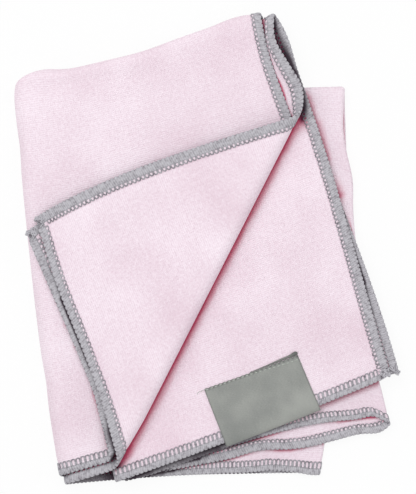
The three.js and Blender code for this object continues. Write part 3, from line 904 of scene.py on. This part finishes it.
def model_loop():
    """One loop in seam coordinates: x along the seam, y in from the edge, z away from the cloth."""
    deselect()
    bpy.ops.mesh.primitive_circle_add(vertices=THREAD_SIDES, radius=THREAD_RADIUS,
                                      location=(-LOOP_HALF, LOOP_FROM, 0), rotation=(math.pi / 2, 0, 0))
    loop = bpy.context.object
    bpy.ops.object.transform_apply(location=True, rotation=True)
    bpy.ops.object.mode_set(mode="EDIT")
    bpy.ops.mesh.select_all(action="SELECT")
    step = (LOOP_TURN - LOOP_FROM) / LEG_STEPS
    for _ in range(LEG_STEPS):
        bpy.ops.mesh.extrude_region_move(TRANSFORM_OT_translate={"value": (0, step, 0)})
    bpy.ops.mesh.spin(steps=TURN_STEPS, angle=math.pi, center=(0, LOOP_TURN, 0), axis=(0, 0, 1))
    for _ in range(LEG_STEPS):
        bpy.ops.mesh.extrude_region_move(TRANSFORM_OT_translate={"value": (0, -step, 0)})
    bpy.ops.mesh.select_all(action="SELECT")
    bpy.ops.mesh.fill_holes(sides=THREAD_SIDES)
    bpy.ops.mesh.normals_make_consistent(inside=False)
    bpy.ops.object.mode_set(mode="OBJECT")
    points = np.array([v.co for v in loop.data.vertices])
    faces = [list(p.vertices) for p in loop.data.polygons]
    bpy.data.objects.remove(loop)
    return points, faces


loop_points, loop_faces = model_loop()
print("one loop:", len(loop_points), "points,", len(loop_faces), "faces, from", loop_points.min(0), "to",
      loop_points.max(0))

# %% [markdown]
# The cord is a C-shaped section swept round the edge. Round the edge itself it has one notch a stitch, and
# its faces have fine slanted strands, two a stitch, as the crossed looper threads make them. It is broad,
# but on the upper face of the long sides it is narrow and its loops are longer. Where the plain long side
# turns back with the corner's lower layer, it is broad on both faces again.

# %% Cord along one side
RINGS_A_STITCH = 10
NARROW, BROAD = 2.6, 3.7
BROADENS_OVER = 8
# The section of one face, as shares of its reach in from the edge and as heights. The back and the inside
# are in millimetres.
CORD_FACE = np.array([[1.0, 0.36], [0.97, 0.62], [0.78, 0.78], [0.48, 0.84], [0.18, 0.80]])
CORD_BACK = np.array([[-0.25, 0.60], [-0.55, 0.22]])
CORD_INNER = np.array([[-0.12, -0.33], [-0.12, 0.33]])
CORD_MIDDLE = [1.2, 0.0]
STRAND_RELIEF, STRAND_LEVEL = 0.40, 0.7
NOTCH_DEPTH, STRAND_DEPTH = 0.90, 0.42
ROUNDED_RINGS, ROUNDED_BY = 5, 0.45      # at the cord's two ends


def cord_section(upper_reach, lower_reach):
    upper = np.concatenate([CORD_FACE * [upper_reach, 1], CORD_BACK])
    lower = np.concatenate([CORD_FACE * [lower_reach, 1], CORD_BACK]) * [1, -1]
    return np.concatenate([upper, lower[::-1]])


def all_broad(station):
    return BROAD, BROAD


def narrow_above(station):
    return NARROW, BROAD


def narrow_up_to_flap(station):
    past_fold = station - 3 * PANEL_WIDTH - 2
    return NARROW + (BROAD - NARROW) * smooth(past_fold / BROADENS_OVER), BROAD


def strand_height(stitches, from_back):
    """How high each point of a ring lies on its strand, from the notches and the fine strands."""
    notch = (0.5 + 0.5 * np.cos(2 * math.pi * (stitches + 0.4 * from_back))) ** 3
    slant = 2 * stitches - 1.3 * from_back + 0.2 * math.sin(stitches * 0.7)
    fine = 0.5 + 0.5 * np.cos(2 * math.pi * slant)
    at_edge = 1 - smooth((from_back - 0.12) / 0.3)
    return 1 - NOTCH_DEPTH * at_edge * notch - STRAND_DEPTH * (1 - at_edge) * fine


def cord_surface(start, end, reaches):
    """Points [station, inward, away] of the cord and how high each lies on its strand, ring by ring."""
    count = round((end - start) / STITCH * RINGS_A_STITCH)
    from_back = np.abs(np.linspace(-1, 1, 2 * (len(CORD_FACE) + len(CORD_BACK))))
    rings, strands = [], []
    for k, station in enumerate(np.linspace(start, end, count + 1)):
        section = cord_section(*reaches(station))
        outward = section - CORD_MIDDLE
        outward /= np.linalg.norm(outward, axis=1, keepdims=True)
        strand = strand_height(station / STITCH, from_back)
        rounded_end = ROUNDED_BY * max(0, 1 - min(k, count - k) / ROUNDED_RINGS) ** 2
        lift = (strand - STRAND_LEVEL) * STRAND_RELIEF * (0 < k < count) - rounded_end
        ring = np.concatenate([section + outward * lift[:, None], CORD_INNER])
        rings.append(np.column_stack([np.full(len(ring), station), ring]))
        # The material darkens the thread by these heights: painted shade in the notches and between the
        # strands.
        strands.append(np.concatenate([strand, [0, 0]]))
    size = len(ring)
    faces = []
    for s in range(count):
        for k in range(size):
            a, b = s * size + k, s * size + (k + 1) % size
            faces.append([a, b, b + size, a + size])
    faces.append(list(range(size)))
    faces.append([count * size + k for k in reversed(range(size))])
    return np.concatenate(rings), faces, np.concatenate(strands)


print("points round the cord:", len(cord_section(BROAD, BROAD)) + len(CORD_INNER))

# %% [markdown]
# A copy of the loop goes to each stitch, on both faces of the cloth. No two are quite alike: each is a
# little wider or longer than the next and stands a little to one side.

# %% Loops along one side
LONGER = 0.45            # a loop that starts from a narrow cord turns this much further in
IN_CORD = 0.3            # a loop's legs start this deep under the cord's inner rim
LOOP_SINK, TURN_SINK = 0.60, 0.08        # the loop's height over the cloth, and how much its turn dips
# The loop's turn gets painted shade where it dips into the cloth.
LEG_STRAND, TURN_PAINTED_SHADE = 0.64, 0.17     # the thread's tone at its legs, and how much darker its turn is
LEAN = 0.15


def overlock(start, end, flat_place, reaches, seed):
    """The seam on one side of the sheet: its points in flat coordinates, its faces and its strands."""
    dice = np.random.default_rng(seed)
    points, faces, strands = cord_surface(start, end, reaches)
    points, strands = [points], [strands]
    total = len(points[0])
    first = first_eyelet(start + end)
    for k in range(int((start + end - 2 * EYELETS_FROM) / STITCH)):
        station = first + k * STITCH
        for side, reach in zip((1, -1), reaches(station)):
            loop = loop_points.copy()
            out = (loop[:, 1] - LOOP_FROM) / (LOOP_TURN - LOOP_FROM)
            leg = np.minimum(out, 1)
            further = LONGER * (BROAD - reach) / (BROAD - NARROW)
            loop[:, 1] += (1 - leg) * (reach - IN_CORD - LOOP_FROM) + (further + dice.normal(0, 0.08)) * leg
            loop[:, 0] = loop[:, 0] * (1 + dice.normal(0, 0.04)) + dice.normal(0, 0.05)
            loop[:, 0] += LEAN * side * out + station
            loop[:, 2] = side * (loop[:, 2] + LOOP_SINK - TURN_SINK * smooth((out - 1) / 0.3))
            points.append(loop)
            strands.append(LEG_STRAND - TURN_PAINTED_SHADE * smooth((out - 0.7) / 0.5))
            faces += [[total + q for q in face[::side]] for face in loop_faces]
            total += len(loop)
    points, strands = np.concatenate(points), np.concatenate(strands)
    u, v = flat_place(points[:, 0], points[:, 1])
    return np.column_stack([u, v, points[:, 2]]), points[:, :2], faces, strands


print("stitches on a long side:", int((LONG_SIDE - 2 * EYELETS_FROM) / STITCH))

# %% [markdown]
# The seams lie in the same crevices as the cloth, so they are darkened in the same way. Rays go out from
# two lines on each of the cord's faces and from its back, every millimetre or two, and each thread takes
# the value of its place between them.

# %% How shut in each seam is
SHUT_STEP = 1.6
OUTER_LINE, INNER_LINE = 0.6, 4.0
BACK_LINE = -0.7
CORD_TOP = 0.9           # the rays start at this height over the cloth's middle surface
ROUND_BACK = 0.7         # the back's value fades into the faces' over this height
FACES_FROM = 0.8         # and further in than this a thread has its face's value alone
SHADE_LINES = {
    "upper": (OUTER_LINE, CORD_TOP),
    "upper inner": (INNER_LINE, CORD_TOP),
    "back": (BACK_LINE, 0.0),
    "lower": (OUTER_LINE, -CORD_TOP),
    "lower inner": (INNER_LINE, -CORD_TOP),
}


def line_shade(stations, flat_place, inward, away):
    """How shut in the seam is along one line of it. The rays look away from the cloth."""
    u, v = flat_place(stations, np.full(stations.shape, inward))
    points = offset_point(u, v, np.full(u.shape, away))
    if away:
        further = offset_point(u, v, np.full(u.shape, 2 * away))
    else:
        u, v = flat_place(stations, np.full(stations.shape, inward - 1))
        further = offset_point(u, v, np.zeros(u.shape))
    normals = further - points
    normals /= np.linalg.norm(normals, axis=1, keepdims=True)
    return shut_in(cloth_tree, points, normals)


def seam_shade(start, end, flat_place, at):
    """How shut in the seam is at each point [station, inward, away]."""
    stations = np.arange(start, end + SHUT_STEP, SHUT_STEP)
    values = {name: np.interp(at[:, 0], stations, line_shade(stations, flat_place, *line))
              for name, line in SHADE_LINES.items()}
    face = np.clip(at[:, 2] / ROUND_BACK, -1, 1)
    face = np.where(at[:, 1] > FACES_FROM, np.sign(at[:, 2]), face)
    inner = np.clip((at[:, 1] - OUTER_LINE) / (INNER_LINE - OUTER_LINE), 0, 1)
    upper = values["upper"] * (1 - inner) + values["upper inner"] * inner
    lower = values["lower"] * (1 - inner) + values["lower inner"] * inner
    sides = upper * np.maximum(face, 0) + lower * np.maximum(-face, 0)
    return values["back"] * (1 - np.abs(face)) + sides + painted_hollow_shade(*flat_place(at[:, 0], at[:, 1]))


print("lines of rays along each seam:", len(SHADE_LINES))

# %% [markdown]
# The thread is textured polyester, a soft light grey. Painted shade darkens it between the strands, and
# makes it nearly black where the seam is shut in. Two noises make it woolly: fine fibres, and patches as
# long as a strand.

# %% Thread material
THREAD_SHADE, THREAD_LIGHT = linear(88, 78, 88), linear(192, 190, 196)
THREAD_PAINTED_SHADE = linear(58, 44, 56)
thread, wire, shader = new_material("grey woolly thread", roughness=0.72, specular_ior_level=0.35,
                                    sheen_weight=0.25, sheen_roughness=0.4,
                                    sheen_tint=linear(230, 232, 240))
place = wire.node("TexCoord", output="Object")
fibre = noise(place, 4200, 2, "3D")
patches = noise(place, 620, 2, "3D")
strand = wire.node("Attribute", {"attribute_name": "strand"}, output="Fac")
shade = wire.node("Attribute", {"attribute_name": "shade"}, output="Fac")
# Low strand values are painted shade: the cord's notches and grooves, the loops' turns and the knots' under
# strands.
tone = (strand * 0.58 + (fibre - 0.5) * 0.45 + (patches - 0.5) * 1.05).soft_step(-0.25, 0.72)
lit = tone.mix(THREAD_SHADE, THREAD_LIGHT)
# Painted shade where the seam is shut in, nearly black.
feed(shade.soft_step(0.22, 0.56).mix(lit, THREAD_PAINTED_SHADE), shader, "Base Color")
feed(wire.node("Bump", inputs={"Strength": 0.5, "Distance": 0.00012, "Height": fibre}), shader, "Normal")
print("thread material:", len(thread.node_tree.nodes), "nodes")

# %% [markdown]
# Each seam stands for one of the solids. All four are the same work on another side of the sheet, so a side
# is one line of a table, with a small function that turns a place on the seam into a flat place.

# %% The four seams
CORNER_GAP = 3.4         # a long side's cord starts inside the short side's seam
LONG = (CORNER_GAP, LONG_SIDE - CORNER_GAP)
SHORT = (0, SHORT_SIDE)
SEAMS = [
    ("seam_short_outer", "edging_short_outer", SHORT, all_broad, lambda s, n: (n, s)),
    ("seam_short_inner", "edging_short_inner", SHORT, all_broad, lambda s, n: (LONG_SIDE - n, s)),
    ("seam_long_plain", "edging_long_plain", LONG, narrow_up_to_flap, lambda s, n: (s, n)),
    ("seam_long_label", "edging_long_label", LONG, narrow_above, lambda s, n: (s, SHORT_SIDE - n)),
]
SEAM_SEED = 40


def turned_out(points, faces):
    """The faces, all turned round if the closed mesh has a negative volume."""
    volume = sum(np.dot(points[f[0]], np.cross(points[f[k]], points[f[k + 1]]))
                 for f in faces for k in range(1, len(f) - 1))
    return faces if volume > 0 else [f[::-1] for f in faces]


for seed, (name, node, (start, end), reaches, flat_place) in enumerate(SEAMS, start=SEAM_SEED):
    flat_points, on_seam, faces, strands = overlock(start, end, flat_place, reaches, seed)
    laid = offset_point(*flat_points.T)
    seam_closed = seam_shade(start, end, flat_place, np.column_stack([on_seam, flat_points[:, 2]]))
    piece = mesh_object(name, laid, turned_out(laid, faces), thread, on_seam,
                        {"shade": seam_closed, "strand": strands})
    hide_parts(node)
    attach(piece, "root")
    print(name, len(piece.data.polygons), "faces")

# %% [markdown]
# ## Thread ends
# At each corner of the sheet two seams meet, and the machine's chain of thread is sewn back into them. It
# stands there as a small knot: a coil round the corner's tip, and loose strands across it on both faces of
# the cloth. They are drawn in the sheet's flat coordinates, as the seams are, and folded with it.


# %% A thread along a line
def rounded(line, times):
    """The line with its corners cut off, again and again, until it is a curve."""
    for _ in range(times):
        points = [line[0]]
        for a, b in zip(line[:-1], line[1:]):
            points += [0.75 * a + 0.25 * b, 0.25 * a + 0.75 * b]
        line = np.array(points + [line[-1]])
    return line


def thread_along(line, radius, sides=6):
    """The points and faces of a closed thread along a line. The radius may change along it."""
    line = np.asarray(line, float)
    radius = np.broadcast_to(radius, len(line)) * np.array([0.5, *[1.0] * (len(line) - 2), 0.5])
    along = np.gradient(line, axis=0)
    along /= np.linalg.norm(along, axis=1, keepdims=True)
    beside = np.cross(along, [0.31, 0.22, 0.93])
    beside /= np.linalg.norm(beside, axis=1, keepdims=True)
    above = np.cross(beside, along)
    turn = np.arange(sides) / sides * 2 * math.pi
    rings = (line[:, None] + radius[:, None, None]
             * (beside[:, None] * np.cos(turn)[:, None] + above[:, None] * np.sin(turn)[:, None]))
    faces = []
    for s in range(len(line) - 1):
        for k in range(sides):
            a, b = s * sides + k, s * sides + (k + 1) % sides
            faces.append([a, a + sides, b + sides, b])
    faces += [list(range(sides)), [(len(line) - 1) * sides + k for k in reversed(range(sides))]]
    return rings.reshape(-1, 3), faces


corner_line = rounded(np.array([[0.0, 0, 0], [1, 0, 0], [1, 1, 0]]), 2)
print("a corner cut off twice has", len(corner_line), "points")

# %% [markdown]
# The knots' numbers are millimetres, but the coil's reach is in sizes, because the four corners differ:
# one knot is large and one is small. Every third strand gets painted shade, as if it lay under the others.

# %% Knots at the corners
CORNERS = [((0, 0), (1, 1), 1.1), ((LONG_SIDE, 0), (-1, 1), 1.1),
           ((LONG_SIDE, SHORT_SIDE), (-1, -1), 0.9), ((0, SHORT_SIDE), (1, -1), 1.7)]
COIL_TURNS, COIL_POINTS = 5, 60
COIL_FROM, COIL_TO = -1.8, 0.35      # from inside the corner to a little past its tip
COIL_BESIDE, COIL_AWAY, COIL_THREAD = 0.85, 1.15, 0.25
STRAND_SIDES = [1] * 6 + [-1] * 4    # six loose strands over the cloth, four under it
STRAND_POINTS = 5
STRAND_REACH, STRAND_AWAY, STRAND_RADIUS = (-0.3, 5.0), (0.95, 1.40), (0.20, 0.30)
PALE_STRAND, SHADED_STRAND = 1.1, 0.2
KNOT_SEED = 70


def knot(corner, inward, size, seed):
    """Strands at one corner of the sheet, as lines in flat coordinates with a radius each."""
    dice = np.random.default_rng(seed)
    tip = np.array([*corner, 0.0])
    in_u, in_v = np.array([inward[0], 0, 0]), np.array([0, inward[1], 0])
    out = -(in_u + in_v) / math.sqrt(2)
    beside = (in_u - in_v) / math.sqrt(2)
    turn = np.linspace(0, COIL_TURNS * 2 * math.pi, COIL_POINTS)
    coil = (tip + np.outer(np.linspace(COIL_FROM, COIL_TO, COIL_POINTS) * size, out)
            + np.outer(np.cos(turn) * COIL_BESIDE * size, beside)
            + np.outer(np.sin(turn) * COIL_AWAY, [0, 0, 1]))
    strands = [(coil, COIL_THREAD)]
    for side in STRAND_SIDES:
        places = dice.uniform(*STRAND_REACH, (STRAND_POINTS, 2))
        heights = side * dice.uniform(*STRAND_AWAY, STRAND_POINTS)
        line = tip + places[:, :1] * in_u + places[:, 1:] * in_v + np.outer(heights, [0, 0, 1])
        strands.append((rounded(line, 3), dice.uniform(*STRAND_RADIUS)))
    return strands


def joined(meshes):
    """The points and faces of several meshes as one."""
    points, faces, total = [], [], 0
    for some_points, some_faces in meshes:
        points.append(some_points)
        faces += [[total + k for k in face] for face in some_faces]
        total += len(some_points)
    return np.concatenate(points), faces


ends, end_strands = [], []
for seed, (corner, inward, size) in enumerate(CORNERS, start=KNOT_SEED):
    for number, (line, radius) in enumerate(knot(corner, inward, size, seed)):
        ends.append(thread_along(line, radius))
        end_strands += [SHADED_STRAND if number % 3 == 2 else PALE_STRAND] * len(ends[-1][0])
end_points, end_faces = joined(ends)
laid = offset_point(*end_points.T)
knots = mesh_object("thread_ends", laid, turned_out(laid, end_faces), thread, values={"strand": end_strands})
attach(knots, "root")
print("knots:", len(knots.data.polygons), "faces")

# %% [markdown]
# ## The label
# A satin tape is folded round the hem and sewn down along its top end, a little crooked. The stitches draw
# the end into small scallops. The tape is bare. It is one section, from the sewn end down over the seam,
# round the edge and a little way up the other face, repeated along the label.

# %% The label's shape
LABEL_START, LABEL_WIDTH, LABEL_TURN, LABEL_HEIGHT = 510.2, 51, -0.12, 28.7
LABEL_COLUMNS = 108
TAPE_THICKNESS = 0.3
TAPE_STITCH = 2.4
LABEL_LINE = [   # in from the cloth's edge, and away from the cloth's middle surface
    [LABEL_HEIGHT, 0.93], [27.6, 0.93], [26.4, 0.96], [24, 0.95], [16, 0.95], [10.5, 0.97], [6.5, 1.12],
    [3, 1.14], [0, 1.14], [-2.3, 0.9], [-2.9, 0], [-2.3, -0.9], [0, -1.14], [3.5, -1.14], [7, -1.14],
]
END_FROM, END_OVER = 26.6, 1.8
SCALLOP_INWARD, SCALLOP_AWAY = 0.16, 0.07
# How much darker the rim is and over what width, and how much painted shade the sewn end gets.
RIM_DARKER, RIM_DARKER_WIDTH, END_PAINTED_SHADE = 0.45, 0.9, 0.75


def label_place(along, inward):
    """The flat place of a point on the label, from its left edge and from the cloth's edge."""
    return LABEL_START + along + LABEL_TURN * inward, SHORT_SIDE - inward


def label_faces(rows, columns):
    """The tape's upper and under side, and the rim that joins them."""
    index = np.arange(2 * rows * columns).reshape(2, columns, rows)
    faces = []
    for side in (0, 1):
        for a, b, c, d in zip(index[side, :-1, :-1].ravel(), index[side, 1:, :-1].ravel(),
                              index[side, 1:, 1:].ravel(), index[side, :-1, 1:].ravel()):
            faces.append([a, b, c, d] if side else [d, c, b, a])
    rim = [*index[0, :, 0], *index[0, -1, 1:], *index[0, -2::-1, -1], *index[0, 0, -2:0:-1]]
    shift = rows * columns
    for a, b in zip(rim, rim[1:] + rim[:1]):
        faces.append([a, b, b + shift, a + shift])
    return faces


def label_mesh():
    line = rounded(np.array(LABEL_LINE), 2)
    along = np.gradient(line, axis=0)
    along /= np.linalg.norm(along, axis=1, keepdims=True)
    square = np.column_stack([-along[:, 1], along[:, 0]])
    travelled = np.concatenate([[0], np.cumsum(np.linalg.norm(np.diff(line, axis=0), axis=1))])
    across = np.linspace(0, LABEL_WIDTH, LABEL_COLUMNS)[:, None]
    near_end = smooth((line[:, 0] - END_FROM) / END_OVER) * (np.arange(len(line)) < len(line) / 2)
    scallop = np.cos(2 * math.pi * across / TAPE_STITCH)
    rim = 1 - smooth(np.minimum(across, LABEL_WIDTH - across) / RIM_DARKER_WIDTH)
    # The rim is darker, and the sewn end gets painted shade, deepest where the stitches pull it in.
    darker_rim_and_shaded_end = RIM_DARKER * rim + END_PAINTED_SHADE * near_end * (0.6 + 0.4 * scallop)
    points, flat = [], []
    for side in (1, -1):
        offset = line + square * side * TAPE_THICKNESS / 2
        inward = offset[:, 0] - SCALLOP_INWARD * near_end * (1 + scallop)
        away = offset[:, 1] - SCALLOP_AWAY * near_end * (1 + scallop)
        place = np.stack([np.broadcast_to(across, inward.shape), inward, away], -1)
        points.append(place.reshape(-1, 3))
        flat.append(np.stack([place[..., 0], np.broadcast_to(travelled, inward.shape)], -1).reshape(-1, 2))
    points = np.concatenate(points)
    laid = offset_point(*label_place(points[:, 0], points[:, 1]), points[:, 2])
    faces = turned_out(laid, label_faces(len(line), LABEL_COLUMNS))
    return laid, faces, np.concatenate(flat), np.concatenate([darker_rim_and_shaded_end.ravel(), darker_rim_and_shaded_end.ravel()])


laid, faces, flat_places, darker_rim_and_shaded_end = label_mesh()
print("label:", len(laid), "points,", len(faces), "faces")

# %% [markdown]
# Satin is woven so that its yarns float side by side. A noise stretched along them gives the fine streaks,
# and a broad one the tape's uneven grey. Its rim is darker, and its sewn end and rolled corner get painted
# shade.

# %% Satin material, and the label
SATIN_SHADE, SATIN_LIGHT, SATIN_DARKENED = linear(126, 129, 126), linear(159, 161, 156), linear(84, 86, 84)
satin, wire, shader = new_material("sage satin tape", roughness=0.5, specular_ior_level=0.4,
                                   sheen_weight=0.15, sheen_roughness=0.5)
flat = wire.node("UVMap", {"uv_map": "flat"})
yarn = noise(wire.node("Mapping", inputs={"Vector": flat, "Scale": (900, 5200, 1)}), 1, 2)
cloudy = noise(flat, 55, 2)
shade = wire.node("Attribute", {"attribute_name": "shade"}, output="Fac")
tone = (yarn * 0.5 + cloudy * 0.7).soft_step(0.25, 0.95)
feed(shade.mix(tone.mix(SATIN_SHADE, SATIN_LIGHT), SATIN_DARKENED), shader, "Base Color")
feed(wire.node("Bump", inputs={"Strength": 0.35, "Distance": 0.00008, "Height": yarn}), shader, "Normal")

label = mesh_object("label_tape", laid, faces, satin, flat_places, {"shade": darker_rim_and_shaded_end})
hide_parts("label")
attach(label, "root")
print("label piece:", len(label.data.polygons), "faces")

# %% [markdown]
# The tape's end has rolled over along the right half of the label, most of all at the corner. It is modelled
# as a roll of the same tape, which rises and grows thicker towards that corner.

# %% The label's rolled corner
ROLL_LENGTH, ROLL_PAST = 26, 0.3
ROLL_FULL = 3            # the roll stops growing this far from the corner
ROLL_COLUMNS, ROLL_SIDES = 36, 12
AT_CORNER_FROM, AT_CORNER_OVER = 5, 4
along = np.linspace(LABEL_WIDTH - ROLL_LENGTH, LABEL_WIDTH + ROLL_PAST, ROLL_COLUMNS)
grown = smooth((along - LABEL_WIDTH + ROLL_LENGTH) / (ROLL_LENGTH - ROLL_FULL))
at_corner = smooth((along - LABEL_WIDTH + AT_CORNER_FROM) / AT_CORNER_OVER)
roll_line = np.column_stack([along, LABEL_HEIGHT + 0.1 + 0.7 * grown + 0.3 * at_corner, 0.80 + 0.4 * grown])
roll_points, roll_faces = thread_along(roll_line, 0.20 + 0.45 * grown + 0.45 * at_corner, sides=ROLL_SIDES)
laid = offset_point(*label_place(roll_points[:, 0], roll_points[:, 1]), roll_points[:, 2])
# The roll gets painted shade, most of all at the corner.
roll_painted_shade = np.repeat(0.55 + 0.3 * at_corner, ROLL_SIDES)
label_roll = mesh_object("label_roll", laid, turned_out(laid, roll_faces), satin, roll_points[:, :2],
                         {"shade": roll_painted_shade})
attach(label_roll, "root")
print("rolled corner:", len(label_roll.data.polygons), "faces")

# %% [markdown]
# One stitch is a small ball, stretched. Its copies follow the tape's end, which runs a little crooked, and
# at the left one end of the thread has come loose.

# %% The label's stitches
STITCH_SIZE = (0.72, 0.20, 0.17)
STITCH_IN, STITCH_CROOKED = 0.8, 1.5     # in from the tape's end, and how much more at the right
STITCH_AWAY = 1.12
LOOSE_THREAD = 0.12
deselect()
bpy.ops.mesh.primitive_uv_sphere_add(segments=8, ring_count=6, radius=1)
stitch = bpy.context.object
bpy.ops.transform.resize(value=STITCH_SIZE)
bpy.ops.object.transform_apply(scale=True)
stitch_points = np.array([v.co for v in stitch.data.vertices])
stitch_faces = [list(p.vertices) for p in stitch.data.polygons]
bpy.data.objects.remove(stitch)

sewn = []
for number in range(int(LABEL_WIDTH / TAPE_STITCH)):
    middle = (number + 0.5) * TAPE_STITCH + 0.3
    inward = LABEL_HEIGHT - STITCH_IN - STITCH_CROOKED * smooth((middle - 20) / 30)
    sewn.append((stitch_points + [middle, inward, STITCH_AWAY], stitch_faces))
loose = rounded(np.array([[1.0, LABEL_HEIGHT - 0.8, 1.15], [-0.8, LABEL_HEIGHT - 0.2, 1.05],
                          [-2.2, LABEL_HEIGHT - 1.1, 0.80], [-3.0, LABEL_HEIGHT - 0.4, 0.78],
                          [-4.4, LABEL_HEIGHT - 1.6, 0.76]]), 3)
sewn.append(thread_along(loose, LOOSE_THREAD))
points, faces = joined(sewn)
laid = offset_point(*label_place(points[:, 0], points[:, 1]), points[:, 2])
sewing, wire, shader = new_material("pale sewing thread", roughness=0.6, specular_ior_level=0.4)
fibre = noise(wire.node("TexCoord", output="Object"), 5200, 2, "3D")
feed(fibre.soft_step(0.3, 0.7).mix(linear(168, 178, 168), linear(206, 212, 203)), shader, "Base Color")
label_stitches = mesh_object("label_stitches", laid, turned_out(laid, faces), sewing)
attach(label_stitches, "root")
print("stitches:", len(label_stitches.data.polygons), "faces")

# %% [markdown]
